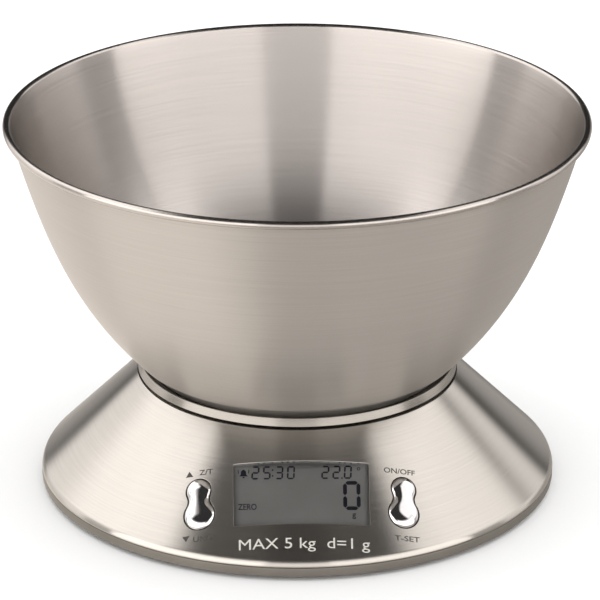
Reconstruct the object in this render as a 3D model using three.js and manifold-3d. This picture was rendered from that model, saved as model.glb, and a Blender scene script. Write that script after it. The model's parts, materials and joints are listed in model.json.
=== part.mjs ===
// A digital kitchen scale: a stainless mixing bowl that lifts off a round weighing platform, which sits
// on a load cell inside a low cone-shaped base. The base carries a liquid-crystal display and two keys.
// Millimetres, +Z up, origin on the table under the centre of the base; the display faces -Y.
import * as THREE from 'three';
import { mergeVertices } from 'three/addons/utils/BufferGeometryUtils.js';
import Module from 'manifold-3d';

const wasm = await Module();
wasm.setup();

// ---- driving dimensions ------------------------------------------------------------------------------
const gap = 0.3; // working clearance between neighbouring pieces
const roundSteps = 60; // facets round the large turned pieces that show
const innerSteps = 48; // facets round the mouldings
const smallSteps = 16; // facets round screws, feet and pins

const base = {
  radius: 98, // outside of the hem that stands just above the table
  hemBottom: 1.5,
  hemTop: 5,
  shoulder: 4.35, // radius of the turn from the hem into the 45 degree cone
  topHeight: 44, // flat top edge of the steel cover
  skin: 0.6,
  moulding: 2,
  floor: 2, // floor of the bottom housing
  flangeRadius: 54, // inner edge of the cover's turned-in top flange
};
const platform = {
  lipTop: 48.4,
  lipBottom: 45.1,
  lipTopRadius: 59.5,
  lipBottomRadius: 60.7,
  floorUnder: 45.4,
  sheet: 0.7,
  lipFold: 0.5, // width of the lip's flat top
  lipRounding: 0.2,
  carrierRadius: 50,
  carrierThickness: 2.7,
  ribInner: 42, // the stiffening ring under the carrier
  ribOuter: 44,
  ribDepth: 2,
  travel: 0.5, // what the load cell gives before the overload stop
};
const bowl = {
  sheet: 0.7,
  bottom: 46.4,
  bottomRadius: 55.4,
  heelRadius: 58, // where the foot turns from the floor towards the wall
  heelHeight: 49.7,
  knuckleHeight: 51.6,
  knuckleRadius: 61.3,
  wallTop: 142.9,
  wallTopRadius: 107.4,
  pullLow: 26, // how far the wall's curve keeps the 45 degrees of its foot
  pullHigh: [11, 38], // and the lean it has at its top
  beadRadius: 1.35,
  beadRise: 0.8, // bead's centre above the wall's top edge
  beadLap: 0.1, // how far the bead laps over the wall
};
const display = {
  azimuth: 0,
  radius: 78.05,
  width: 50,
  height: 24.4,
  lensDepth: 0.1, // how far the clear plug lies below the cover's surface
  lensThickness: 1.2,
  ringLow: 10, // heights between which the plug's ring is turned
  ringHigh: 42,
};
const lcd = { width: 51, height: 27.5, thickness: 2.2, depth: 4.9, viewWidth: 47, viewHeight: 24 };
const bracket = { width: 57.2, height: 34.4, top: 6, bottom: 10, shelf: 1.6 };
const board = { width: 57.2, height: 34.4, thickness: 1.6 };
const rocker = {
  azimuth: 26.7,
  radius: 84,
  roll: 20.6, // turns the long axis upright as seen from the front
  upperRadius: 4.65,
  lowerRadius: 5.75,
  filletRadius: 4.6,
  length: 20,
  edge: 0.35, // top of the key's straight side above the cover
  crown: 1.4, // how far the middle of the key stands proud of the cover
  crownInset: 2,
  capBottom: 1.5,
  pivotDepth: 3.2,
  pinRadius: 0.75,
  hubRadius: 2,
  hubLength: 8.6,
  switchOffset: 5.6,
  boardDepth: 8.6,
};
const cell = {
  length: 80,
  side: 12.7,
  bottom: 10,
  screwNear: 20,
  screwFar: 35,
  eyeRadius: 4.6, // the two eyes of the dog-bone window
  eyeCentre: 7,
  slotHalf: 1.5, // half height of the slot between the eyes
};
const battery = { radius: 5.25, length: 44.5, buttonRadius: 1.9, button: 1, y: [42.2, 53.2], z: 9.4 };
const bay = { halfWidth: 29, yFront: 34, yBack: 61.5, roof: 17.5, wall: 1.6, doorTop: 3.5 };
const foot = { radius: 7, thickness: 2.3, rounding: 0.5, ringRadius: 86, azimuths: [45, 135, 225, 315] };
const housingScrew = { ringRadius: 86, azimuths: [15, 165, 195, 345] };

// ---- shared shapes -----------------------------------------------------------------------------------
const radians = THREE.MathUtils.degToRad;
const vector2 = (x, y) => new THREE.Vector2(x, y);

// A solid for joining and cutting, from a closed geometry.
function solid(geometry) {
  const bare = geometry.clone();
  bare.deleteAttribute('normal');
  bare.deleteAttribute('uv');
  const merged = mergeVertices(bare, 1e-4);
  return new wasm.Manifold(new wasm.Mesh({
    numProp: 3,
    vertProperties: new Float32Array(merged.attributes.position.array),
    triVerts: new Uint32Array(merged.index.array),
  }));
}

function geometryOf(shape) {
  const mesh = shape.getMesh();
  const geometry = new THREE.BufferGeometry();
  geometry.setAttribute('position', new THREE.BufferAttribute(new Float32Array(mesh.vertProperties), 3));
  geometry.setIndex(new THREE.BufferAttribute(new Uint32Array(mesh.triVerts), 1));
  return geometry;
}

// Cuts and joins solids given as geometries, and returns the geometry that is left.
function carve(blank, { add = [], cut = [] }) {
  let shape = solid(blank);
  for (const piece of add) shape = shape.add(solid(piece));
  for (const piece of cut) shape = shape.subtract(solid(piece));
  return geometryOf(shape);
}

// A turned piece about Z from a closed outline of [radius, height] pairs.
function turned(outline, steps = roundSteps) {
  const points = outline.map(([radius, height]) => vector2(radius, height));
  if (THREE.ShapeUtils.area(points) < 0) points.reverse();
  const onAxis = points.findIndex((p, i) => p.x === 0 && points.at(i - 1).x === 0);
  const ordered = onAxis < 0
    ? [...points, points[0]]
    : [...points.slice(onAxis), ...points.slice(0, onAxis)];
  return new THREE.LatheGeometry(ordered, steps).rotateX(Math.PI / 2);
}

// A straight block between two corners.
function block([x0, y0, z0], [x1, y1, z1]) {
  const geometry = new THREE.BoxGeometry(x1 - x0, y1 - y0, z1 - z0);
  return geometry.translate((x0 + x1) / 2, (y0 + y1) / 2, (z0 + z1) / 2);
}

// An upright cylinder between two heights.
function post(x, y, radius, low, high, steps = smallSteps) {
  const geometry = new THREE.CylinderGeometry(radius, radius, high - low, steps).rotateX(Math.PI / 2);
  return geometry.translate(x, y, (low + high) / 2);
}

function extruded(shape, low, high, curveSegments = 3) {
  const settings = { depth: high - low, bevelEnabled: false, curveSegments };
  return new THREE.ExtrudeGeometry(shape, settings).translate(0, 0, low);
}

// A round wire along a smooth curve through the given points.
function wire(points, radius) {
  const path = new THREE.CatmullRomCurve3(points);
  const section = new THREE.Shape().absarc(0, 0, radius, 0, 2 * Math.PI, false);
  return new THREE.ExtrudeGeometry(section, {
    extrudePath: path,
    steps: 22,
    curveSegments: 4,
    bevelEnabled: false,
  });
}

// A screw with its head at the low end, standing on (x, y).
function screwGeometry(x, y, { head, shank, headHeight, low, high }) {
  const headTop = low + headHeight;
  const outline = [[0, low], [head, low], [head, headTop], [shank, headTop], [shank, high], [0, high]];
  return turned(outline, smallSteps).translate(x, y, 0);
}

// ---- the cone of the base ----------------------------------------------------------------------------
const shoulderCentre = { radius: base.radius - base.shoulder, height: base.hemTop };
// Radius and height add up to this all along the cone.
const coneSum = shoulderCentre.radius + shoulderCentre.height + base.shoulder * Math.SQRT2;

// The cone's outline, offset inwards along its normal, between two heights: the turn above the hem,
// where the outline reaches down to it, and the 45 degree slope.
function coneOutline(inset, bottom, top) {
  const turn = base.shoulder - inset;
  const onSlope = (height) => [coneSum - inset * Math.SQRT2 - height, height];
  if (bottom > shoulderCentre.height + turn) return [onSlope(bottom), onSlope(top)];
  const arcSteps = 3;
  const points = [];
  for (let i = 0; i <= arcSteps; i += 1) {
    const angle = (Math.PI / 4) * (i / arcSteps);
    const height = shoulderCentre.height + turn * Math.sin(angle);
    points.push([shoulderCentre.radius + turn * Math.cos(angle), Math.max(height, bottom)]);
  }
  return [...points, onSlope(top)];
}

// A group that lies on the cone: X to the right, Y up the slope, Z straight out of the surface.
function slopeGroup(azimuthDegrees, radius, rollDegrees = 0) {
  const azimuth = radians(azimuthDegrees);
  const sine = Math.sin(azimuth);
  const cosine = Math.cos(azimuth);
  const x = new THREE.Vector3(cosine, sine, 0);
  const y = new THREE.Vector3(-sine, cosine, 1).normalize();
  const z = new THREE.Vector3(sine, -cosine, 1).normalize();
  const group = new THREE.Group();
  group.quaternion.setFromRotationMatrix(new THREE.Matrix4().makeBasis(x, y, z));
  group.rotateZ(radians(rollDegrees));
  group.position.set(radius * sine, -radius * cosine, coneSum - radius);
  group.updateMatrixWorld(true);
  return group;
}

const displayGroup = slopeGroup(display.azimuth, display.radius);
const rockerGroups = {
  left: slopeGroup(-rocker.azimuth, rocker.radius, rocker.roll),
  right: slopeGroup(rocker.azimuth, rocker.radius, -rocker.roll),
};

// ---- rocker outline: a small upper lobe and a large lower lobe joined by two hollow fillets ----------
const upperCentre = rocker.length / 2 - rocker.upperRadius;
const lowerCentre = rocker.lowerRadius - rocker.length / 2;

function rockerShape(offset = 0) {
  const upper = rocker.upperRadius + rocker.filletRadius;
  const lower = rocker.lowerRadius + rocker.filletRadius;
  const span = upperCentre - lowerCentre;
  const along = (lower * lower - upper * upper + span * span) / (2 * span);
  const filletX = Math.sqrt(lower * lower - along * along);
  const filletY = lowerCentre + along;
  const fillet = rocker.filletRadius - offset;
  const upAngle = Math.atan2(filletY - upperCentre, filletX);
  const lowAngle = Math.atan2(filletY - lowerCentre, filletX);
  const shape = new THREE.Shape();
  shape.absarc(0, upperCentre, rocker.upperRadius + offset, upAngle, Math.PI - upAngle, false);
  shape.absarc(-filletX, filletY, fillet, -upAngle, -lowAngle, true);
  const lobe = rocker.lowerRadius + offset;
  shape.absarc(0, lowerCentre, lobe, Math.PI - lowAngle, 2 * Math.PI + lowAngle, false);
  shape.absarc(filletX, filletY, fillet, Math.PI + lowAngle, Math.PI + upAngle, true);
  return shape;
}

function punch(group, geometry) {
  return geometry.clone().applyMatrix4(group.matrixWorld);
}

// ---- materials ---------------------------------------------------------------------------------------
function finish(color, roughness, metalness = 0) {
  return new THREE.MeshStandardMaterial({ color, roughness, metalness });
}
const brushedSteel = finish(0xb8b1a7, 0.35, 1);
const brightSteel = finish(0xc9c9cc, 0.2, 1);
const chrome = finish(0xe6e6e8, 0.05, 1);
const silverPlastic = finish(0xc5bfb2, 0.4);
const darkPlastic = finish(0x3a3a3c, 0.6);
const clearPlastic = finish(0xdfe4e2, 0.05);
const lcdGlass = finish(0x7b7b76, 0.15);
const rubber = finish(0x6f6f70, 0.9);
const sealant = finish(0xf1efe8, 0.6);
const boardGreen = finish(0x2c5a3a, 0.5);
const aluminium = finish(0xb9bcc0, 0.4, 1);
const copperRed = finish(0xa63a32, 0.5);
const wireBlack = finish(0x1c1c1e, 0.5);
const batteryWrap = finish(0x8c8f94, 0.3);

const scale = new THREE.Group();
scale.add(displayGroup, rockerGroups.left, rockerGroups.right);

function part(name, geometry, material, parent = scale) {
  const mesh = new THREE.Mesh(geometry, material);
  mesh.name = name;
  parent.add(mesh);
  return mesh;
}

// ---- bowl: one deep-drawn sheet with its edge rolled over a bead -------------------------------------
function bowlGeometry() {
  const wall = new THREE.CubicBezierCurve(
    vector2(bowl.knuckleRadius, bowl.knuckleHeight),
    vector2(bowl.knuckleRadius + bowl.pullLow, bowl.knuckleHeight + bowl.pullLow),
    vector2(bowl.wallTopRadius - bowl.pullHigh[0], bowl.wallTop - bowl.pullHigh[1]),
    vector2(bowl.wallTopRadius, bowl.wallTop),
  );
  const wallSteps = 7;
  const outside = wall.getPoints(wallSteps);
  const inside = outside.map((point, i) => {
    const tangent = wall.getTangent(i / wallSteps);
    return vector2(point.x - tangent.y * bowl.sheet, point.y + tangent.x * bowl.sheet);
  });
  const outline = [
    [0, bowl.bottom],
    [bowl.bottomRadius, bowl.bottom],
    [bowl.heelRadius, bowl.heelHeight],
    ...outside.map((p) => [p.x, p.y]),
  ];
  const beadX = bowl.wallTopRadius + bowl.beadRadius - bowl.beadLap;
  const beadY = bowl.wallTop + bowl.beadRise;
  const beadSteps = 6;
  const beadStart = -110; // the bead rolls from under the rim, over it and down inside
  const beadTurn = 270;
  for (let i = 0; i <= beadSteps; i += 1) {
    const angle = radians(beadStart + (beadTurn * i) / beadSteps);
    outline.push([
      beadX + bowl.beadRadius * Math.cos(angle),
      beadY + bowl.beadRadius * Math.sin(angle),
    ]);
  }
  inside.reverse().forEach((p) => outline.push([p.x, p.y]));
  const floor = bowl.bottom + bowl.sheet;
  outline.push(
    [bowl.heelRadius - bowl.sheet / 2, bowl.heelHeight + bowl.sheet],
    [bowl.bottomRadius - bowl.sheet / 2, floor],
    [0, floor],
  );
  return turned(outline);
}
part('bowl', bowlGeometry(), brushedSteel);

// ---- platform: a shallow pan with a turned-down lip, on a moulded carrier ----------------------------
function panGeometry() {
  const floor = platform.floorUnder + platform.sheet;
  const slope = platform.lipTop - floor; // the pan's inner wall rises at 45 degrees beside the bowl
  const innerTop = platform.lipTopRadius - platform.lipFold;
  const floorRadius = innerTop - slope;
  const turnUnder = platform.sheet * (Math.SQRT2 - 1);
  const { lipRounding } = platform;
  return turned([
    [0, platform.floorUnder],
    [floorRadius + turnUnder, platform.floorUnder],
    [innerTop + platform.lipFold / 5, platform.lipTop - platform.sheet - lipRounding],
    [platform.lipBottomRadius - platform.sheet, platform.lipBottom],
    [platform.lipBottomRadius, platform.lipBottom],
    [platform.lipTopRadius, platform.lipTop - lipRounding],
    [platform.lipTopRadius - lipRounding, platform.lipTop],
    [innerTop, platform.lipTop],
    [floorRadius, floor],
    [0, floor],
  ]);
}
part('platform_pan', panGeometry(), brushedSteel);

const carrierTop = platform.floorUnder - gap;
const carrierUnder = carrierTop - platform.carrierThickness;
const cellTop = cell.bottom + cell.side;
const bossBottom = cellTop + gap;
const topScrew = { head: 3.5, shank: 2, headHeight: 3, seat: bossBottom + 6, low: cell.bottom + 3 };
const carrierBoss = { near: 14, far: 41, half: 9 }; // stands on the free end of the load cell

function carrierGeometry() {
  const bore = topScrew.shank + gap;
  const counterbore = topScrew.head + gap;
  const disc = turned([
    [0, carrierUnder],
    [platform.carrierRadius, carrierUnder],
    [platform.carrierRadius, carrierTop],
    [0, carrierTop],
  ], innerSteps);
  const root = carrierUnder + 1; // ribs and bosses run a little into the disc
  const ringRib = turned([
    [platform.ribInner, carrierUnder - platform.ribDepth],
    [platform.ribOuter, carrierUnder - platform.ribDepth],
    [platform.ribOuter, root],
    [platform.ribInner, root],
  ], innerSteps);
  const boss = block(
    [carrierBoss.near, -carrierBoss.half, bossBottom],
    [carrierBoss.far, carrierBoss.half, root],
  );
  const holes = [cell.screwNear, cell.screwFar].flatMap((x) => [
    post(x, 0, bore, bossBottom - 1, carrierTop + 1),
    post(x, 0, counterbore, topScrew.seat, carrierTop + 1),
  ]);
  return carve(disc, { add: [boss, ringRib], cut: holes });
}
part('platform_carrier', carrierGeometry(), darkPlastic);

[cell.screwNear, cell.screwFar].forEach((x, i) => {
  const headLow = topScrew.seat + gap;
  const head = post(x, 0, topScrew.head, headLow, headLow + topScrew.headHeight);
  const shank = post(x, 0, topScrew.shank, topScrew.low, headLow + 1);
  part(`cell_top_screw_${i + 1}`, carve(head, { add: [shank] }), brightSteel);
});

// ---- load cell: an aluminium bar with a dog-bone window that thins it where the gauges sit -----------
function cellGeometry() {
  const half = cell.side / 2;
  const bar = new THREE.Shape();
  bar.moveTo(-cell.length / 2, -half);
  bar.lineTo(cell.length / 2, -half);
  bar.lineTo(cell.length / 2, half);
  bar.lineTo(-cell.length / 2, half);
  bar.closePath();
  const lift = Math.asin(cell.slotHalf / cell.eyeRadius);
  const window = new THREE.Path();
  window.absarc(cell.eyeCentre, 0, cell.eyeRadius, Math.PI + lift, 3 * Math.PI - lift, false);
  window.absarc(-cell.eyeCentre, 0, cell.eyeRadius, lift, 2 * Math.PI - lift, false);
  bar.holes.push(window);
  const blank = extruded(bar, -half, half, 6).rotateX(Math.PI / 2).translate(0, 0, cell.bottom + half);
  const bores = [cell.screwNear, cell.screwFar].flatMap((x) => [
    post(x, 0, topScrew.shank + gap, cell.bottom - 1, cellTop + 1),
    post(-x, 0, topScrew.shank + gap, cell.bottom - 1, cellTop + 1),
  ]);
  return carve(blank, { cut: bores });
}
part('load_cell', cellGeometry(), aluminium);
const gaugeBed = { left: -13, right: 12, half: 5, top: cellTop + 1.7 };
part('gauge_sealant', block(
  [gaugeBed.left, -gaugeBed.half, cellTop + gap],
  [gaugeBed.right, gaugeBed.half, gaugeBed.top],
), sealant);

const floorTop = base.hemBottom + base.floor;
const baseScrew = {
  head: 3.5,
  shank: 2,
  headHeight: 2.4,
  low: base.hemBottom + 0.6,
  high: cellTop - 3,
};
[-cell.screwNear, -cell.screwFar].forEach((x, i) => {
  part(`cell_base_screw_${i + 1}`, screwGeometry(x, 0, baseScrew), brightSteel);
});
const stop = { x: 36, radius: 2.5, low: floorTop + 0.7, high: cell.bottom - platform.travel - gap };
part('overload_stop', post(stop.x, 0, stop.radius, stop.low, stop.high), brightSteel);

// ---- steel cover over a moulded upper housing --------------------------------------------------------
const cutter = { low: -9, high: 4 }; // a punch starts below the mouldings and ends above the cover
const windowPunch = punch(displayGroup, block(
  [-display.width / 2, -display.height / 2, cutter.low],
  [display.width / 2, display.height / 2, cutter.high],
));
const coverCutout = 0.35; // gap round each key in the steel cover
const mouldingCutout = 0.75; // and in the moulding under it
function rockerPunches(offset) {
  const shape = extruded(rockerShape(offset), -7, cutter.high);
  return Object.values(rockerGroups).map((group) => punch(group, shape));
}

function coverGeometry() {
  const top = base.topHeight;
  const under = top - base.skin;
  const outside = coneOutline(0, base.hemTop + gap, top);
  const inside = coneOutline(base.skin, base.hemTop + gap, under);
  const blank = turned([
    ...outside,
    [base.flangeRadius, top],
    [base.flangeRadius, under],
    ...inside.reverse(),
  ]);
  return carve(blank, { cut: [windowPunch, ...rockerPunches(coverCutout)] });
}
part('top_cover', coverGeometry(), brushedSteel);

const mouldOutside = base.skin + gap;
const mouldInside = mouldOutside + base.moulding;
const mouldTop = base.topHeight - base.skin - gap;
// The deck under the platform, with the hole that the carrier's boss passes through.
const deck = { low: 37, high: 39, wallInner: 51.5, wallOuter: 53.5, holeMargin: 2.5 };
const upperBoss = { radius: 4, low: 8.6, high: 20, bore: 1.7, boreTop: 12.4 };
const housingScrewSpots = housingScrew.azimuths.map((degrees) => [
  housingScrew.ringRadius * Math.cos(radians(degrees)),
  housingScrew.ringRadius * Math.sin(radians(degrees)),
]);

// The ears that hold a key's pivot pin, and the bore through them.
const ear = { inner: 5.4, outer: 8.2, half: 1.9, top: -1.9, bottom: -5.1 };
const pinSteps = 12;
const boreRadius = rocker.pinRadius + gap;
const pinBore = new THREE.CylinderGeometry(boreRadius, boreRadius, 2 * ear.outer + 2, pinSteps)
  .rotateZ(Math.PI / 2)
  .translate(0, 0, -rocker.pivotDepth);

function upperHousingGeometry() {
  const blank = turned([
    [0, deck.low],
    [deck.wallOuter, deck.low],
    [deck.wallOuter, mouldTop - base.moulding],
    ...coneOutline(mouldInside, base.hemTop + gap, mouldTop - base.moulding).reverse(),
    ...coneOutline(mouldOutside, base.hemTop + gap, mouldTop),
    [deck.wallInner, mouldTop],
    [deck.wallInner, deck.high],
    [0, deck.high],
  ], innerSteps);
  const ears = Object.values(rockerGroups).flatMap((group) => [-1, 1].map((side) => {
    const low = [Math.min(side * ear.inner, side * ear.outer), -ear.half, ear.bottom];
    const high = [Math.max(side * ear.inner, side * ear.outer), ear.half, ear.top];
    return punch(group, block(low, high));
  }));
  const bosses = housingScrewSpots.map(([x, y]) => (
    post(x, y, upperBoss.radius, upperBoss.low, upperBoss.high)
  ));
  const beyond = base.radius + 5;
  const outsideOfCone = turned([
    ...coneOutline(mouldOutside, base.hemTop + gap, mouldTop),
    [beyond, mouldTop],
    [beyond, base.hemTop + gap],
  ], innerSteps);
  const bracketHole = punch(displayGroup, block(
    [-bracket.width / 2 - gap, -bracket.height / 2 - gap, -bracket.bottom + cutter.low],
    [bracket.width / 2 + gap, bracket.height / 2 + gap, cutter.high],
  ));
  const { holeMargin } = deck;
  const cuts = [
    outsideOfCone,
    bracketHole,
    ...rockerPunches(mouldingCutout),
    ...Object.values(rockerGroups).map((group) => punch(group, pinBore)),
    ...housingScrewSpots.map(([x, y]) => (
      post(x, y, upperBoss.bore, upperBoss.low - 1, upperBoss.boreTop)
    )),
    block(
      [carrierBoss.near - holeMargin, -carrierBoss.half - holeMargin, deck.low - 1],
      [carrierBoss.far + holeMargin, carrierBoss.half + holeMargin, deck.high + 1],
    ),
  ];
  return carve(blank, { add: [...ears, ...bosses], cut: cuts });
}
part('upper_housing', upperHousingGeometry(), darkPlastic);

// ---- display: a clear plug in the window, a liquid-crystal panel, its bracket and the main board -----
function lensGeometry() {
  const { lensDepth, lensThickness, ringLow, ringHigh } = display;
  const outer = coneOutline(lensDepth, ringLow, ringHigh);
  const inner = coneOutline(lensDepth + lensThickness, ringLow, ringHigh);
  const ring = solid(turned([...outer, ...inner.reverse()]));
  const plug = block(
    [-display.width / 2 + gap, -display.height / 2 + gap, cutter.low],
    [display.width / 2 - gap, display.height / 2 - gap, cutter.high],
  );
  const lens = ring.intersect(solid(punch(displayGroup, plug)));
  return geometryOf(lens).applyMatrix4(displayGroup.matrixWorld.clone().invert());
}
part('display_window', lensGeometry(), clearPlastic, displayGroup);

// A block centred on the display, between two depths below the cover's surface.
function layer(width, height, top, bottom) {
  return block([-width / 2, -height / 2, -bottom], [width / 2, height / 2, -top]);
}
const lcdBottom = lcd.depth + lcd.thickness;
part('lcd_panel', layer(lcd.width, lcd.height, lcd.depth, lcdBottom), lcdGlass, displayGroup);

const boardTop = bracket.bottom + gap;
const boardBottom = boardTop + board.thickness;
const boardScrew = { x: 27.2, y: 15.6, head: 1.3, headHeight: 1, shank: 0.7, steps: 10 };
const boardCorners = [[-1, -1], [1, -1], [1, 1], [-1, 1]];
function screwBores(top, bottom) {
  const { x, y, shank, steps } = boardScrew;
  return boardCorners.map(([sx, sy]) => post(sx * x, sy * y, shank + gap, -bottom, -top, steps));
}

part('lcd_bracket', carve(layer(bracket.width, bracket.height, bracket.top, bracket.bottom), {
  cut: [
    layer(lcd.width + 2 * gap, lcd.height + 2 * gap, bracket.top - 1, lcdBottom + gap),
    layer(lcd.viewWidth, lcd.viewHeight, bracket.top, bracket.bottom + 1),
    ...screwBores(bracket.top + 1, bracket.bottom + 1),
  ],
}), darkPlastic, displayGroup);

const stripTop = lcdBottom + gap;
const strip = { half: 22, low: -10.5, high: -8 };
part('zebra_strip', block(
  [-strip.half, strip.low, -bracket.bottom],
  [strip.half, strip.high, -stripTop],
), rubber, displayGroup);
part('main_board', carve(layer(board.width, board.height, boardTop, boardBottom), {
  cut: screwBores(boardTop - 1, boardBottom + 1),
}), boardGreen, displayGroup);

const backOfBoard = -boardBottom - gap;
boardCorners.forEach(([sx, sy], i) => {
  const x = sx * boardScrew.x;
  const y = sy * boardScrew.y;
  const { head, headHeight, shank, steps } = boardScrew;
  const screwHead = post(x, y, head, backOfBoard - headHeight, backOfBoard, steps);
  const screwShank = post(x, y, shank, backOfBoard - headHeight / 2, -bracket.top - bracket.shelf, steps);
  const screw = carve(screwHead, { add: [screwShank] });
  part(`board_screw_${i + 1}`, screw, brightSteel, displayGroup);
});

const chip = { x: 0, y: 2, half: 5, thickness: 1.4 };
part('controller_chip', block(
  [chip.x - chip.half, chip.y - chip.half, backOfBoard - chip.thickness],
  [chip.x + chip.half, chip.y + chip.half, backOfBoard],
), wireBlack, displayGroup);
const crystal = { x: -14, y: 4, radius: 1.5, length: 6, lift: 1.6 };
part('quartz_crystal', new THREE.CylinderGeometry(crystal.radius, crystal.radius, crystal.length, pinSteps)
  .translate(crystal.x, crystal.y, backOfBoard - crystal.lift), brightSteel, displayGroup);
const buzzer = { x: 16, y: 3, radius: 5.5, thickness: 4 };
part('buzzer', post(
  buzzer.x, buzzer.y, buzzer.radius, backOfBoard - buzzer.thickness, backOfBoard,
), wireBlack, displayGroup);
const sensor = { x: -22, y: -4, radius: 1.3, lift: 1.4 };
part('temperature_sensor', new THREE.SphereGeometry(sensor.radius, 12, 8)
  .translate(sensor.x, sensor.y, backOfBoard - sensor.lift), sealant, displayGroup);

// ---- rocker keys: each turns on a steel pin and presses one of two tact switches ---------------------
const keyWeb = { halfX: 3.5, halfY: 1.4 };
const stud = { radius: 1.6, low: -3.7 }; // the two studs that press the switches

function rockerGeometry() {
  const { capBottom, edge, crown, crownInset, hubRadius } = rocker;
  const crownSteps = 3;
  const layers = [extruded(rockerShape(0), -capBottom, edge)];
  for (let i = 1; i <= crownSteps; i += 1) {
    const share = i / crownSteps;
    const top = edge + (crown - edge) * Math.sin((Math.PI / 2) * share);
    layers.push(extruded(rockerShape(-crownInset * share), -capBottom, top));
  }
  const hub = new THREE.CylinderGeometry(hubRadius, hubRadius, rocker.hubLength, smallSteps)
    .rotateZ(Math.PI / 2)
    .translate(0, 0, -rocker.pivotDepth);
  const root = -capBottom + 0.2; // web and studs run a little into the cap
  const web = block(
    [-keyWeb.halfX, -keyWeb.halfY, -rocker.pivotDepth],
    [keyWeb.halfX, keyWeb.halfY, root],
  );
  const studs = [-1, 1].map((side) => (
    post(0, side * rocker.switchOffset, stud.radius, stud.low, root, pinSteps)
  ));
  return carve(layers[0], { add: [...layers.slice(1), hub, web, ...studs], cut: [pinBore] });
}

const tactSwitch = { half: 2.9, body: 3.4, plungerRadius: 1.6, plunger: 0.7, lift: gap };
function switchGeometry(y) {
  const floor = -rocker.boardDepth + tactSwitch.lift;
  const bodyTop = floor + tactSwitch.body;
  const body = block(
    [-tactSwitch.half, y - tactSwitch.half, floor],
    [tactSwitch.half, y + tactSwitch.half, bodyTop],
  );
  const plunger = post(
    0, y, tactSwitch.plungerRadius, floor + 1, bodyTop + tactSwitch.plunger, pinSteps,
  );
  return carve(body, { add: [plunger] });
}

const switchBoard = { halfX: 5, halfY: 10, thickness: 1.2 };
for (const [side, group] of Object.entries(rockerGroups)) {
  part(`${side}_rocker`, rockerGeometry(), chrome, group);
  const pinLength = 2 * ear.outer - 0.4;
  const pin = new THREE.CylinderGeometry(rocker.pinRadius, rocker.pinRadius, pinLength, pinSteps)
    .rotateZ(Math.PI / 2)
    .translate(0, 0, -rocker.pivotDepth);
  part(`${side}_pivot_pin`, pin, brightSteel, group);
  part(`${side}_switch_board`, block(
    [-switchBoard.halfX, -switchBoard.halfY, -rocker.boardDepth - switchBoard.thickness],
    [switchBoard.halfX, switchBoard.halfY, -rocker.boardDepth],
  ), boardGreen, group);
  part(`${side}_upper_switch`, switchGeometry(rocker.switchOffset), wireBlack, group);
  part(`${side}_lower_switch`, switchGeometry(-rocker.switchOffset), wireBlack, group);
}

// ---- bottom housing: floor, silver hem, bosses and the battery bay -----------------------------------
const footSpots = foot.azimuths.map((degrees) => [
  foot.ringRadius * Math.cos(radians(degrees)),
  foot.ringRadius * Math.sin(radians(degrees)),
]);
const spigot = { outer: 93, inner: 91.4, top: 7 }; // stands inside the upper housing and centres it
const lowerBoss = { radius: 4.5, high: 8.3 };
const cellPad = { far: -40, near: -14, half: 9 }; // the fixed end of the load cell stands on it
const stopPad = { radius: 5, high: floorTop + 3.4 };
const housingScrewShape = {
  head: 2.9,
  shank: 1.4,
  headHeight: 1.9,
  low: base.hemBottom + 0.8,
  high: 12,
};

function bottomHousingGeometry() {
  const low = base.hemBottom;
  const chamfer = 0.5;
  const blank = turned([
    [0, low],
    [base.radius - chamfer, low],
    [base.radius, low + chamfer],
    [base.radius, base.hemTop],
    [spigot.outer, base.hemTop],
    [spigot.outer, spigot.top],
    [spigot.inner, spigot.top],
    [spigot.inner, floorTop],
    [0, floorTop],
  ], innerSteps);
  const root = floorTop - 1; // pads and bosses run a little into the floor
  const add = [
    block([cellPad.far, -cellPad.half, root], [cellPad.near, cellPad.half, cell.bottom - gap]),
    post(stop.x, 0, stopPad.radius, root, stopPad.high),
    block(
      [-bay.halfWidth - bay.wall, bay.yFront - bay.wall, low + chamfer],
      [bay.halfWidth + bay.wall, bay.yBack + bay.wall, bay.roof],
    ),
    ...housingScrewSpots.map(([x, y]) => post(x, y, lowerBoss.radius, root, lowerBoss.high)),
  ];
  // A screw's counterbore and bore, cut from below.
  const screwHoles = (x, y, { head, shank, headHeight, low: seat }, top) => [
    post(x, y, head + gap, low - 1, seat + headHeight + gap),
    post(x, y, shank + gap, low - 1, top),
  ];
  const cut = [
    block(
      [-bay.halfWidth, bay.yFront, low - 1],
      [bay.halfWidth, bay.yBack, bay.roof - bay.wall],
    ),
    post(stop.x, 0, stop.radius + gap, stop.low - gap, stopPad.high + 1),
    ...[-cell.screwNear, -cell.screwFar].flatMap((x) => screwHoles(x, 0, baseScrew, cell.bottom + 1)),
    ...footSpots.map(([x, y]) => post(x, y, foot.radius + gap, low - 1, foot.thickness + gap)),
    ...housingScrewSpots.flatMap(([x, y]) => (
      screwHoles(x, y, housingScrewShape, lowerBoss.high + 1)
    )),
  ];
  return carve(blank, { add, cut });
}
part('bottom_housing', bottomHousingGeometry(), silverPlastic);

footSpots.forEach(([x, y], i) => {
  const outline = [
    [0, 0],
    [foot.radius - foot.rounding, 0],
    [foot.radius, foot.rounding],
    [foot.radius, foot.thickness],
    [0, foot.thickness],
  ];
  part(`foot_${i + 1}`, turned(outline, smallSteps).translate(x, y, 0), rubber);
});
housingScrewSpots.forEach(([x, y], i) => {
  part(`housing_screw_${i + 1}`, screwGeometry(x, y, housingScrewShape), brightSteel);
});

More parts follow.
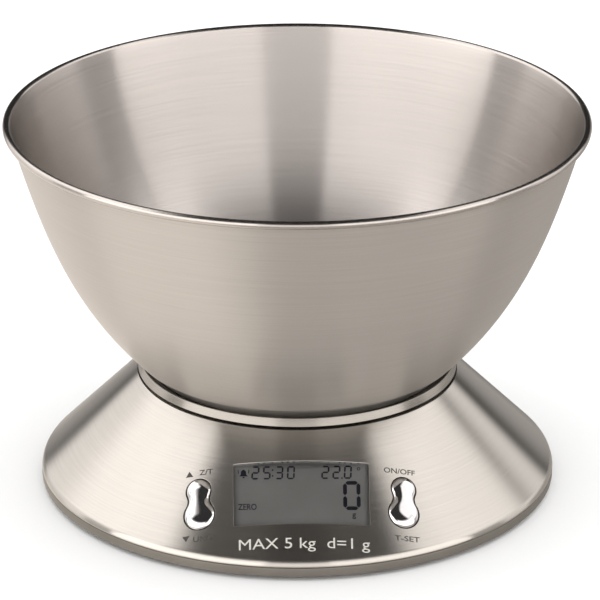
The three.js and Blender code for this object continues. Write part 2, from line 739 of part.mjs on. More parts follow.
// ---- batteries, their contacts and the door ----------------------------------------------------------
battery.y.forEach((y, i) => {
  const side = i === 0 ? 1 : -1; // the two cells lie head to tail
  const half = battery.length / 2;
  const outline = [
    [0, -half],
    [battery.radius, -half],
    [battery.radius, half - battery.button],
    [battery.buttonRadius, half - battery.button],
    [battery.buttonRadius, half],
    [0, half],
  ];
  const geometry = turned(outline, smallSteps).rotateY(side * Math.PI / 2).translate(0, y, battery.z);
  part(`battery_${i + 1}`, geometry, batteryWrap);
});
const contact = { near: battery.length / 2 + 1.4, thickness: 0.5, half: 4, low: 5, high: 14 };
part('contact_bridge', block(
  [-contact.near - contact.thickness, battery.y[0] - contact.half, contact.low],
  [-contact.near, battery.y[1] + contact.half, contact.high],
), brightSteel);
battery.y.forEach((y, i) => {
  const name = i === 0 ? 'contact_plus' : 'contact_minus';
  part(name, block(
    [contact.near, y - contact.half, contact.low],
    [contact.near + contact.thickness, y + contact.half, contact.high],
  ), brightSteel);
});

const door = {
  x: bay.halfWidth - gap,
  yFront: bay.yFront + gap,
  yBack: bay.yBack - gap,
  low: base.hemBottom,
  high: bay.doorTop - gap,
};
const grip = { count: 3, half: 8, first: 4.5, width: 0.8, pitch: 2, depth: 0.5 }; // finger slits
function doorGeometry() {
  const plate = block([-door.x, door.yFront, door.low], [door.x, door.yBack, door.high]);
  const grips = Array.from({ length: grip.count }, (_, i) => {
    const y = door.yBack - grip.first - grip.pitch * i;
    return block([-grip.half, y, door.low - 1], [grip.half, y + grip.width, door.low + grip.depth]);
  });
  return carve(plate, { cut: grips });
}
part('battery_door', doorGeometry(), silverPlastic);

// ---- leads clipped inside the housing ----------------------------------------------------------------
const point = (x, y, z) => new THREE.Vector3(x, y, z);
const cellLeadRadius = 1.2;
const batteryLeadRadius = 0.6;
part('load_cell_lead', wire([
  point(-43, 3, 17), point(-50, -4, 15), point(-50, -18, 11), point(-44, -34, 9),
  point(-32, -50, 10), point(-24, -58, 12),
], cellLeadRadius), sealant);
part('battery_lead_red', wire([
  point(33, 44, 8), point(42, 36, 7), point(50, 18, 7), point(50, -8, 8),
  point(42, -32, 9), point(26, -50, 12),
], batteryLeadRadius), copperRed);
part('battery_lead_black', wire([
  point(33, 50, 8), point(45, 38, 7), point(54, 19, 7), point(54, -9, 8),
  point(45, -34, 9), point(28, -53, 12),
], batteryLeadRadius), wireBlack);

export default scale;
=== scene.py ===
import json
import math

import bpy
from mathutils import Matrix, Vector
from mathutils.geometry import delaunay_2d_cdt


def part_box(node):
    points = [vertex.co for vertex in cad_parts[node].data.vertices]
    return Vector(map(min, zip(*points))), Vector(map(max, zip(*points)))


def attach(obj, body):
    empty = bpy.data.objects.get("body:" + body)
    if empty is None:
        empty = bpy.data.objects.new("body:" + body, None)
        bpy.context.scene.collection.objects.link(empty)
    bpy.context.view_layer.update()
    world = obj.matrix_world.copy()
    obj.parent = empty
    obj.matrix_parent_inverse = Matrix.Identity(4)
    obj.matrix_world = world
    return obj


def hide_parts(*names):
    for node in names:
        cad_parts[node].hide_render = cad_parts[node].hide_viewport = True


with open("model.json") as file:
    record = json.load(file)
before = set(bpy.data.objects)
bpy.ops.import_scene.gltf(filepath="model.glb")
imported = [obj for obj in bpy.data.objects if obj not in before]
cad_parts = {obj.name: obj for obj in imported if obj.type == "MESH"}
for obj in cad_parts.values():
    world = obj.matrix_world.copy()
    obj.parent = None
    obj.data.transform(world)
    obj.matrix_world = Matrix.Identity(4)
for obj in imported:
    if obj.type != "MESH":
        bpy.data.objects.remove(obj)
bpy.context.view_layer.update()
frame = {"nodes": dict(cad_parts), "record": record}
scene = bpy.context.scene

# ---- Camera ----
# It stands 1.6 metres in front of the display, a little to the left of it, and looks down on the
# scale with a long lens. Lengths in this file are millimetres, and MM turns them into metres.
MM = 0.001


def new_object(name, data):
    made = bpy.data.objects.new(name, data)
    scene.collection.objects.link(made)
    return made


camera_distance = 1586.0
camera_height = 718.0
camera_side = math.radians(1.15)  # how far round to the left it stands
camera_pitch = math.radians(22.19)
camera_pan = math.radians(0.038)
lens = bpy.data.cameras.new("camera")
lens.lens = 270.9
lens.sensor_width = 36.0
lens.clip_end = 20.0
camera = new_object("camera", lens)
camera.location = MM * Vector((
    -camera_distance * math.sin(camera_side),
    -camera_distance * math.cos(camera_side),
    camera_height,
))
camera.rotation_euler = (math.pi / 2 - camera_pitch, 0.0, -camera_side - camera_pan)
scene.camera = camera


# ---- Bottom housing ----
# The tray that closes the base from below. It is injection moulded in ABS and sprayed satin
# silver; its edge shows as a pale hem all round, just above the table. Four screws hold it.
class Field:
    """One output of a shader node, which takes part in plain arithmetic."""

    def __init__(self, socket):
        self.socket = socket

    def node(self, kind, settings=(), sockets=(), output=0):
        """Adds any node to the same tree: its settings first, then its sockets' values or links."""
        tree = self.socket.id_data
        made = tree.nodes.new("ShaderNode" + kind)
        for key, value in dict(settings).items():
            if key == "stops":
                set_stops(made.color_ramp, value)
            else:
                setattr(made, key, value)
        for key, value in dict(sockets).items():
            if isinstance(value, Field):
                tree.links.new(value.socket, made.inputs[key])
            else:
                made.inputs[key].default_value = value
        return Field(made.outputs[output])

    def maths(self, operation, *others):
        return self.node("Math", {"operation": operation}, dict(enumerate((self, *others))))

    def __add__(self, other):
        return self.maths("ADD", other)

    def __sub__(self, other):
        return self.maths("SUBTRACT", other)

    def __rsub__(self, other):
        return self.node("Math", {"operation": "SUBTRACT"}, {0: other, 1: self})

    def __mul__(self, other):
        return self.maths("MULTIPLY", other)

    def __truediv__(self, other):
        return self.maths("DIVIDE", other)

    def __pow__(self, other):
        return self.maths("POWER", other)

    __radd__, __rmul__ = __add__, __mul__

    def step(self, low, high):
        """0 below low, 1 above high, and a smooth rise between them."""
        settings = {"interpolation_type": "SMOOTHSTEP"}
        return self.node("MapRange", settings, {"Value": self, "From Min": low, "From Max": high})

    def within(self, low, high, soft):
        """1 between low and high and 0 outside, with edges this wide."""
        half = soft / 2
        return self.step(low - half, low + half) * (1 - self.step(high - half, high + half))

    def between(self, other, factor):
        """This colour where factor is 0 and the other one where it is 1."""
        return self.node("Mix", {"data_type": "RGBA"}, {0: factor, 6: self, 7: other}, 2)

    def noise(self, scale, detail=2.0, roughness=0.5):
        sockets = {"Vector": self, "Scale": scale, "Detail": detail, "Roughness": roughness}
        return self.node("TexNoise", {}, sockets)


def set_stops(ramp, stops):
    """Gives a colour ramp its stops, each (position, colour)."""
    while len(ramp.elements) < len(stops):
        ramp.elements.new(0.5)
    for element, (position, colour) in zip(ramp.elements, stops):
        element.position = position
        element.color = (*colour, 1.0)


def new_finish(name, **constants):
    """A material with one Principled shader: returns it, the shader and the place on the piece."""
    finish = bpy.data.materials.new(name)
    finish.use_nodes = True
    shader = finish.node_tree.nodes["Principled BSDF"]
    for socket, value in constants.items():
        shader.inputs[socket.replace("_", " ")].default_value = value
    place = finish.node_tree.nodes.new("ShaderNodeTexCoord").outputs["Object"]
    return finish, shader, Field(place)


def feed(shader, **fields):
    """Links what varies over the surface to the shader's sockets."""
    for socket, field in fields.items():
        tree = shader.id_data
        tree.links.new(field.socket, shader.inputs[socket.replace("_", " ")])


def colour_ramp(field, *stops):
    return field.node("ValToRGB", {"stops": stops}, {"Fac": field})


def shaded(colour, factor):
    return tuple(min(1.0, factor * c) for c in colour)


def bump(height, strength, distance=MM * 0.05):
    """A surface normal raised by a height field."""
    sockets = {"Height": height, "Strength": strength, "Distance": distance}
    return height.node("Bump", {}, sockets)


def revolve(outline, steps=256):
    """Vertices and faces of a (radius, height) outline turned about the upright axis."""
    vertices, rings = [], []
    for radius, height in outline:
        count = 1 if radius < 1e-6 else steps
        rings.append(range(len(vertices), len(vertices) + count))
        turns = (2 * math.pi * i / steps for i in range(count))
        vertices += [(radius * math.sin(t), -radius * math.cos(t), height) for t in turns]
    faces = []
    joined = list(zip(rings, rings[1:]))
    if outline[0][0] > 1e-6:
        joined.append((rings[-1], rings[0]))
    for low, high in joined:
        for i in range(steps):
            after = (i + 1) % steps
            below, above = ([ring[k % len(ring)] for k in (i, after)] for ring in (low, high))
            distinct = list(dict.fromkeys([*below, *reversed(above)]))
            if len(distinct) > 2:
                faces.append(distinct)
    return vertices, faces


def rounded(corners, steps=6):
    """An outline of (radius, height, rounding) corners, each turned with an arc of its rounding."""
    points = []
    for i, (x, y, rounding) in enumerate(corners):
        here = Vector((x, y))
        if not rounding:
            points.append((x, y))
            continue
        to_last = (Vector(corners[i - 1][:2]) - here).normalized()
        to_next = (Vector(corners[(i + 1) % len(corners)][:2]) - here).normalized()
        half = to_last.angle(to_next) / 2
        centre = here + (to_last + to_next).normalized() * rounding / math.sin(half)
        start = here + to_last * rounding / math.tan(half) - centre
        sweep = -start.angle_signed(here + to_next * rounding / math.tan(half) - centre)
        for step in range(steps + 1):
            arm = Matrix.Rotation(sweep * step / steps, 2) @ start
            points.append(tuple(centre + arm))
    return points


def new_piece(name, vertices, faces, finish, sharp=35.0):
    """A mesh object from millimetre vertices, smooth but for edges sharper than the given angle."""
    mesh = bpy.data.meshes.new(name)
    mesh.from_pydata([MM * Vector(v) for v in vertices], [], [list(face) for face in faces])
    mesh.polygons.foreach_set("use_smooth", [True] * len(mesh.polygons))
    mesh.set_sharp_from_angle(angle=math.radians(sharp))
    mesh.materials.append(finish)
    return new_object(name, mesh)


def settle(piece, body, slot, *nodes):
    """Hangs a finished piece on its body, in place of the nodes it stands for."""
    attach(piece, body)
    if nodes:
        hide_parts(*nodes)


def applied(piece):
    """A piece's mesh with its modifiers applied."""
    graph = bpy.context.evaluated_depsgraph_get()
    return bpy.data.meshes.new_from_object(piece.evaluated_get(graph))


def cut(piece, shapes):
    """Cuts closed shapes out of a piece."""
    cutters = [new_piece("cutter", *shape, piece.data.materials[0]) for shape in shapes]
    for cutter in cutters:
        modifier = piece.modifiers.new("cut", "BOOLEAN")
        modifier.operation = "DIFFERENCE"
        modifier.solver = "EXACT"
        modifier.object = cutter
    old, mesh = piece.data, applied(piece)
    piece.modifiers.clear()
    piece.data = mesh
    bpy.data.meshes.remove(old)
    mesh.set_sharp_from_angle(angle=math.radians(35.0))
    for face in mesh.polygons:
        face.use_smooth = abs(face.normal.z) < 0.999  # large level faces stay flat
    for cutter in cutters:
        bpy.data.objects.remove(cutter)


def moved(vertices, x, y):
    return [(x + vx, y + vy, z) for vx, vy, z in vertices]


def drum(x, y, radius, low, high):
    """A closed upright drum at (x, y), for cutting round holes."""
    vertices, faces = revolve([(0, low), (radius, low), (radius, high), (0, high)], 64)
    return moved(vertices, x, y), faces


def box_shape(low, high):
    """Vertices and faces of a straight box between two corners."""
    (x0, y0, z0), (x1, y1, z1) = low, high
    vertices = [(x, y, z) for z in (z0, z1) for y in (y0, y1) for x in (x0, x1)]
    faces = [(0, 2, 3, 1), (4, 5, 7, 6), (0, 1, 5, 4), (2, 6, 7, 3), (0, 4, 6, 2), (1, 3, 7, 5)]
    return vertices, faces


def moulded(name, colour, roughness, grain=0.35, **constants):
    """Moulded plastic: a very fine spark-eroded grain and slight clouding of colour and gloss."""
    finish, shader, place = new_finish(name, **constants)
    cloud = place.noise(45.0, 3.0)
    fine = place.noise(2600.0, 2.0)
    feed(
        shader,
        Base_Color=colour_ramp(cloud, (0.25, shaded(colour, 0.86)), (0.75, shaded(colour, 1.07))),
        Roughness=roughness + 0.10 * (cloud - 0.5) + 0.08 * (fine - 0.5),
        Normal=bump(fine, grain),
    )
    return finish


silver_paint = moulded("silver_paint", (0.22, 0.205, 0.18), 0.42, 0.25, Metallic=0.6)



def box_of(node):
    """The lowest and highest corners of a node at rest."""
    return [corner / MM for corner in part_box(node)]


housing_low, housing_high = box_of("bottom_housing")
base_radius = housing_high.x
hem_bottom = housing_low.z
hem_top = 5.0
hem_rise = 0.2  # the hem closes most of the gap under the cover
floor_thickness = 2.0
tray_floor = hem_bottom + floor_thickness
sole_radius, sole_step = 95.6, 0.35  # the hem stands this much higher than the flat underside
wall_outer, wall_inner, wall_top_height = 93.0, 91.4, 7.0  # the wall that stands inside the cover
vertices, faces = revolve(rounded([
    (0, hem_bottom, 0),
    (sole_radius, hem_bottom, 0),
    (sole_radius + 0.5, hem_bottom + sole_step, 0.2),
    (base_radius, hem_bottom + sole_step, 0.35),
    (base_radius, hem_top + hem_rise, 0.25),
    (wall_outer, hem_top + hem_rise, 0),
    (wall_outer, wall_top_height, 0.3),
    (wall_inner, wall_top_height, 0.3),
    (wall_inner, tray_floor, 0.4),
    (0, tray_floor, 0),
], steps=4))
bottom_housing = new_piece("bottom_housing_tray", vertices, faces, silver_paint)
foot_low, foot_high = box_of("foot_1")
foot_radius = (foot_high.x - foot_low.x) / 2
foot_spots = []
for number in range(1, 5):
    low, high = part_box(f"foot_{number}")
    foot_spots.append(((low + high) / 2 / MM).to_2d())
screw_names = [f"cell_base_screw_{n}" for n in (1, 2)] + [f"housing_screw_{n}" for n in range(1, 5)]
screw_heads = {}
for name in screw_names:
    low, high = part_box(name)
    centre = (low + high) / 2 / MM
    screw_heads[name] = (centre.x, centre.y, low.z / MM, (high.x - low.x) / 2 / MM)
door_low, door_high = box_of("battery_door")
gap = 0.3  # round each foot, screw head and the door
well_depth = 2.4  # of the screws' counterbores
door_hole_top = 9
holes = [drum(x, y, foot_radius + gap, 0, foot_high.z + gap) for x, y in foot_spots]
holes += [drum(x, y, r + gap, 0, low + well_depth) for x, y, low, r in screw_heads.values()]
holes.append(box_shape(
    (door_low.x - gap, door_low.y - gap, 0),
    (door_high.x + gap, door_high.y + gap, door_hole_top),
))
cut(bottom_housing, holes)
settle(bottom_housing, "base", "silver_plastic", "bottom_housing")


# ---- Feet ----
# Four discs of grey elastomer pressed into round pockets under the housing. Each has two
# concentric grip grooves in its sole and a soft edge.
foot_rubber = moulded("foot_rubber", (0.16, 0.16, 0.16), 0.82, 0.6)
foot_top = foot_high.z
dimple, groove = 0.25, 0.45  # depths in the middle of the sole and of the ring round it
vertices, faces = revolve(rounded([
    (0, dimple, 0), (1.6, dimple, 0.1), (1.8, 0, 0.1), (3.4, 0, 0.1), (3.6, groove, 0.1),
    (4.3, groove, 0.1), (4.5, 0, 0.1), (foot_radius, 0, 0.5), (foot_radius, foot_top, 0.15),
    (0, foot_top, 0),
], steps=3), 96)
for number, (x, y) in enumerate(foot_spots, 1):
    foot = new_piece(f"foot_sole_{number}", moved(vertices, x, y), faces, foot_rubber)
    settle(foot, "base", "rubber", f"foot_{number}")


# ---- Screws under the base ----
# Four self-tapping screws hold the two housings together and two machine screws hold the load
# cell. All are zinc-plated steel with pan heads and cross recesses.
def plated_steel(name, colour, roughness):
    """Plated steel, with fine scratches and slight staining."""
    finish, shader, place = new_finish(name, Metallic=1.0)
    stain = place.noise(160.0, 4.0)
    drawn = place.node("Mapping", {}, {"Vector": place, "Scale": (900.0, 4000.0, 900.0)})
    scratch = drawn.noise(1.0, 2.0)
    feed(
        shader,
        Base_Color=colour_ramp(stain, (0.3, shaded(colour, 0.72)), (0.6, colour)),
        Roughness=roughness + 0.16 * (stain - 0.5) + 0.12 * (scratch - 0.5),
        Normal=bump(scratch, 0.15),
    )
    return finish


zinc = plated_steel("zinc_plate", (0.62, 0.63, 0.66), 0.28)
head_height = 1.9
recess_depth = 0.9
for name, (x, y, low, radius) in screw_heads.items():
    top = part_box(name)[1].z / MM
    shank = 0.48 * radius
    outline = rounded([
        (0, low, 0), (radius, low, 0.55), (radius, low + head_height, 0.1),
        (shank, low + head_height, 0.1), (shank, top, 0.3), (0, top, 0),
    ], steps=4)
    vertices, faces = revolve(outline, 48)
    screw = new_piece(name + "_body", moved(vertices, x, y), faces, zinc)
    arm, half = 0.55 * radius, 0.13 * radius
    cut(screw, [
        box_shape((x - a, y - b, low - 1), (x + a, y + b, low + recess_depth))
        for a, b in ((arm, half), (half, arm))
    ])
    settle(screw, "base", "bright_steel", name)


# ---- Battery door ----
# A flat moulded cover with the same silver paint, and a row of finger grooves near its hinged
# edge. It hooks in there and snaps shut on the other side.
door_plate = new_piece("battery_door_cover", *box_shape(door_low, door_high), silver_paint)
groove_count, groove_pitch, groove_width, groove_depth = 5, 1.7, 0.5, 0.6
grooves = []
for row in range(groove_count):
    y = door_high.y - 3.0 - groove_pitch * row
    half_width = 9.0 - 0.9 * row
    grooves.append(box_shape(
        (-half_width, y - groove_width, door_low.z - 1), (half_width, y, door_low.z + groove_depth),
    ))
cut(door_plate, grooves)
edge = door_plate.modifiers.new("edge", "BEVEL")
edge.width = 0.2 * MM
edge.segments = 3
edge.limit_method = "ANGLE"
settle(door_plate, "door", "silver_plastic", "battery_door")


# ---- The moulded and electronic insides ----
# Upper housing and carrier are black ABS, the load cell is an anodised bar, and the boards are
# green laminate. They are assembled with screws and clips, and the CAD nodes show as they are.
black_abs = moulded("black_abs", (0.035, 0.035, 0.038), 0.55, 0.5)
white_silicone = moulded("white_silicone", (0.80, 0.79, 0.74), 0.45, 0.3)
red_insulation = moulded("red_insulation", (0.42, 0.05, 0.04), 0.4, 0.2)
seal_rubber = moulded("strip_rubber", (0.10, 0.10, 0.11), 0.75, 0.4)
anodised = plated_steel("anodised_bar", (0.55, 0.56, 0.58), 0.42)
nickel = plated_steel("nickel_plate", (0.70, 0.69, 0.66), 0.22)


def laminate():
    """Green solder mask over woven glass, with the weave and copper areas showing through."""
    finish, shader, place = new_finish("board_laminate", Coat_Weight=0.3)
    strand = {"Vector": place, "Scale": 900.0, "Distortion": 0.4}
    weave = place.node("TexWave", {"bands_direction": "X"}, strand)
    cross = place.node("TexWave", {"bands_direction": "Z"}, strand)
    copper = place.noise(320.0, 1.0).step(0.48, 0.52)
    green = colour_ramp(weave * cross, (0.0, (0.012, 0.085, 0.035)), (1.0, (0.022, 0.13, 0.055)))
    bright = colour_ramp(weave, (0.0, (0.03, 0.18, 0.07)), (1.0, (0.04, 0.21, 0.085)))
    feed(shader, Base_Color=green.between(bright, copper), Roughness=0.32 + 0.15 * weave)
    return finish


def sleeve():
    """The plain grey printed sleeve of a battery, with a darker band at one end."""
    finish, shader, place = new_finish("battery_sleeve", Metallic=0.6)
    axis = place.node("SeparateXYZ", {}, {0: place})
    band = axis.step(0.0105, 0.0107)
    cloud = place.noise(90.0, 2.0)
    grey = colour_ramp(cloud, (0.2, (0.22, 0.23, 0.25)), (0.8, (0.28, 0.29, 0.31)))
    dark = colour_ramp(cloud, (0.2, (0.03, 0.03, 0.035)), (0.8, (0.05, 0.05, 0.055)))
    feed(shader, Base_Color=grey.between(dark, band), Roughness=0.25 + 0.1 * cloud)
    return finish


inside_finishes = {
    "dark_plastic": black_abs,
    "black_plastic": black_abs,
    "red_plastic": red_insulation,
    "sealant": white_silicone,
    "rubber": seal_rubber,
    "aluminium": anodised,
    "bright_steel": nickel,
    "board": laminate(),
    "battery_wrap": sleeve(),
}
for row in frame["record"]["subparts"]:
    finish = inside_finishes.get(row["material_slot"])
    if finish:
        mesh = frame["nodes"][row["node"]].data
        mesh.materials.clear()
        mesh.materials.append(finish)


# ---- Steel cover ----
# One spun sheet of stainless steel, brushed in circles, that forms the whole cone of the base.
# The display window and the two key openings are punched out of it with rolled-over edges.
cover_low, cover_high = box_of("top_cover")
skin = 0.6
shoulder = 4.35
shoulder_radius = base_radius - shoulder
cone_sum = shoulder_radius + hem_top + shoulder * math.sqrt(2)  # radius + height along the cone
slope = math.sqrt(0.5)


def cone_normal(azimuth):
    return Vector((math.sin(azimuth), -math.cos(azimuth), 1.0)) * slope


def cone_point(azimuth, radius, depth=0.0):
    surface = Vector((radius * math.sin(azimuth), -radius * math.cos(azimuth), cone_sum - radius))
    return surface - depth * cone_normal(azimuth)


class SlopeFrame:
    """A flat frame laid against the cone: x across, y up the slope and z straight out."""

    def __init__(self, azimuth, radius, roll=0.0):
        sine, cosine = math.sin(azimuth), math.cos(azimuth)
        across = Vector((cosine, sine, 0.0))
        up = Vector((-sine, cosine, 1.0)) * slope
        self.origin = cone_point(azimuth, radius)
        self.x = math.cos(roll) * across + math.sin(roll) * up
        self.y = math.cos(roll) * up - math.sin(roll) * across
        self.z = cone_normal(azimuth)

    def at(self, x, y, z=0.0):
        return self.origin + x * self.x + y * self.y + z * self.z

    def on_skin(self, x, y, depth=0.0):
        """Where the line through (x, y) meets the cone's surface sunk by depth."""
        out = 0.0
        for _ in range(12):
            spot = self.at(x, y, out)
            out -= (math.hypot(spot.x, spot.y) + spot.z - cone_sum) * slope + depth
        return self.at(x, y, out)


def circular_brush(name, colour, roughness, rise, grain=0.25, metallic=1.0):
    """Steel brushed in circles about the upright axis; rise is 1 on a bowl and -1 on a cone."""
    finish, shader, place = new_finish(
        name, Metallic=metallic, Anisotropic=0.95, Anisotropic_Rotation=0.25,
    )
    x, y, z = (place.node("SeparateXYZ", {}, {0: place}, i) for i in range(3))
    radius = (x * x + y * y) ** 0.5 + 1e-4
    along = radius + rise * z

    def lines(pitch, turns):
        """Noise drawn out along the circles: its pitch across them in mm, its breaks per radian."""
        sockets = {"X": x / radius * turns, "Y": y / radius * turns, "Z": along / (pitch * MM)}
        return place.node("CombineXYZ", {}, sockets)

    fine = lines(0.16, 3.0).noise(1.0, 3.0, 0.6)
    coarse = lines(0.9, 1.6).noise(1.0, 2.0)
    cloud = place.noise(16.0, 2.0)
    tone = 0.55 * fine + 0.30 * coarse + 0.15 * cloud
    uneven = 0.40 * (fine - 0.5) + 0.28 * (coarse - 0.5) + 0.12 * (cloud - 0.5)
    feed(
        shader,
        Base_Color=colour_ramp(tone, (0.3, shaded(colour, 0.90)), (0.7, shaded(colour, 1.06))),
        Roughness=roughness + grain * uneven,
        Normal=bump(fine, grain, MM * 0.02),
    )
    return finish


cover_steel = circular_brush("brushed_cover", (0.60, 0.580, 0.540), 0.19, -1, grain=0.10)

display_frame = SlopeFrame(0.0, 78.05)
window_width, window_height, window_corner = 50.0, 24.4, 0.7
key_azimuth = math.radians(26.7)
key_roll = math.radians(20.6)
key_ring = 84.0
key_frames = {
    "left": SlopeFrame(-key_azimuth, key_ring, key_roll),
    "right": SlopeFrame(key_azimuth, key_ring, -key_roll),
}
key_upper, key_lower, key_fillet, key_length = 4.65, 5.75, 4.6, 20.0
key_upper_y, key_lower_y = key_length / 2 - key_upper, key_lower - key_length / 2  # lobe centres
key_gap = 0.35


def window_outline(grow=0.0):
    """The display window's outline, counter-clockwise, with rounded corners."""
    half_x, half_y = window_width / 2 + grow, window_height / 2 + grow
    corner = max(0.1, window_corner + grow)
    points = []
    for quarter, (sx, sy) in enumerate(((1, -1), (1, 1), (-1, 1), (-1, -1))):
        for step in range(5):
            angle = math.pi / 2 * (quarter - 1 + step / 4)
            points.append((
                sx * (half_x - corner) + corner * math.cos(angle),
                sy * (half_y - corner) + corner * math.sin(angle),
            ))
    dense = []
    for i, (x, y) in enumerate(points):
        next_x, next_y = points[(i + 1) % len(points)]
        pieces = 1
        if i % 5 == 4:  # a straight side follows each rounded corner
            pieces = 15 if abs(next_x - x) < 1 else 30
        shares = [k / pieces for k in range(pieces)]
        dense += [(x + (next_x - x) * share, y + (next_y - y) * share) for share in shares]
    return dense


def key_outline(grow=0.0, lobe_steps=26, fillet_steps=12):
    """A key's outline, counter-clockwise: a small upper and a large lower lobe and two hollows."""
    upper, lower = key_upper + key_fillet, key_lower + key_fillet
    span = key_upper_y - key_lower_y
    along = (lower**2 - upper**2 + span**2) / (2 * span)
    hollow_x, hollow_y = math.sqrt(lower**2 - along**2), key_lower_y + along
    up = math.atan2(hollow_y - key_upper_y, hollow_x)
    down = math.atan2(hollow_y - key_lower_y, hollow_x)
    arcs = (
        (0.0, key_upper_y, key_upper + grow, up, math.pi - up, lobe_steps),
        (-hollow_x, hollow_y, key_fillet - grow, -up, -down, fillet_steps),
        (0.0, key_lower_y, key_lower + grow, math.pi - down, 2 * math.pi + down, lobe_steps),
        (hollow_x, hollow_y, key_fillet - grow, math.pi + down, math.pi + up, fillet_steps),
    )
    points = []
    for x, y, radius, first, last, steps in arcs:
        for step in range(steps):
            angle = first + (last - first) * step / steps
            points.append((x + radius * math.cos(angle), y + radius * math.sin(angle)))
    return points


openings = [
    (display_frame, window_outline),
    (key_frames["left"], lambda grow: key_outline(key_gap + grow)),
    (key_frames["right"], lambda grow: key_outline(key_gap + grow)),
]


def inside(point, outline):
    """Whether a flat point lies inside a closed outline."""
    x, y = point
    odd = False
    for (x0, y0), (x1, y1) in zip(outline, outline[1:] + outline[:1]):
        if (y0 > y) != (y1 > y) and x < x0 + (y - y0) * (x1 - x0) / (y1 - y0):
            odd = not odd
    return odd


def band(low, high):
    """The quads between two closed loops of vertices."""
    low, high = list(low), list(high)
    return list(zip(low, low[1:] + low[:1], high[1:] + high[:1], high))


columns = 240
edge_roll = 0.16  # radius of the rolled-over edge of an opening
top_bend = 0.5
cone_top = cover_high.z
cone_low_radius = shoulder_radius + shoulder * slope
cone_top_radius = cone_sum - cone_top + top_bend * math.tan(math.pi / 8)
rows = 18
row_step = (cone_top_radius - cone_low_radius) / rows
row_radii = [cone_low_radius + row_step * j for j in range(rows + 1)]
patch_columns = 30  # columns each side of the front that hold the openings
unroll_radius = 80.0  # where the cone is unrolled to scale, about the openings' middle
clearances = (-0.7, 0, 0.7)  # free space kept between an opening and the patch's inner points
flange_radius = 54.0  # of the hole in the cover's top, under the pan


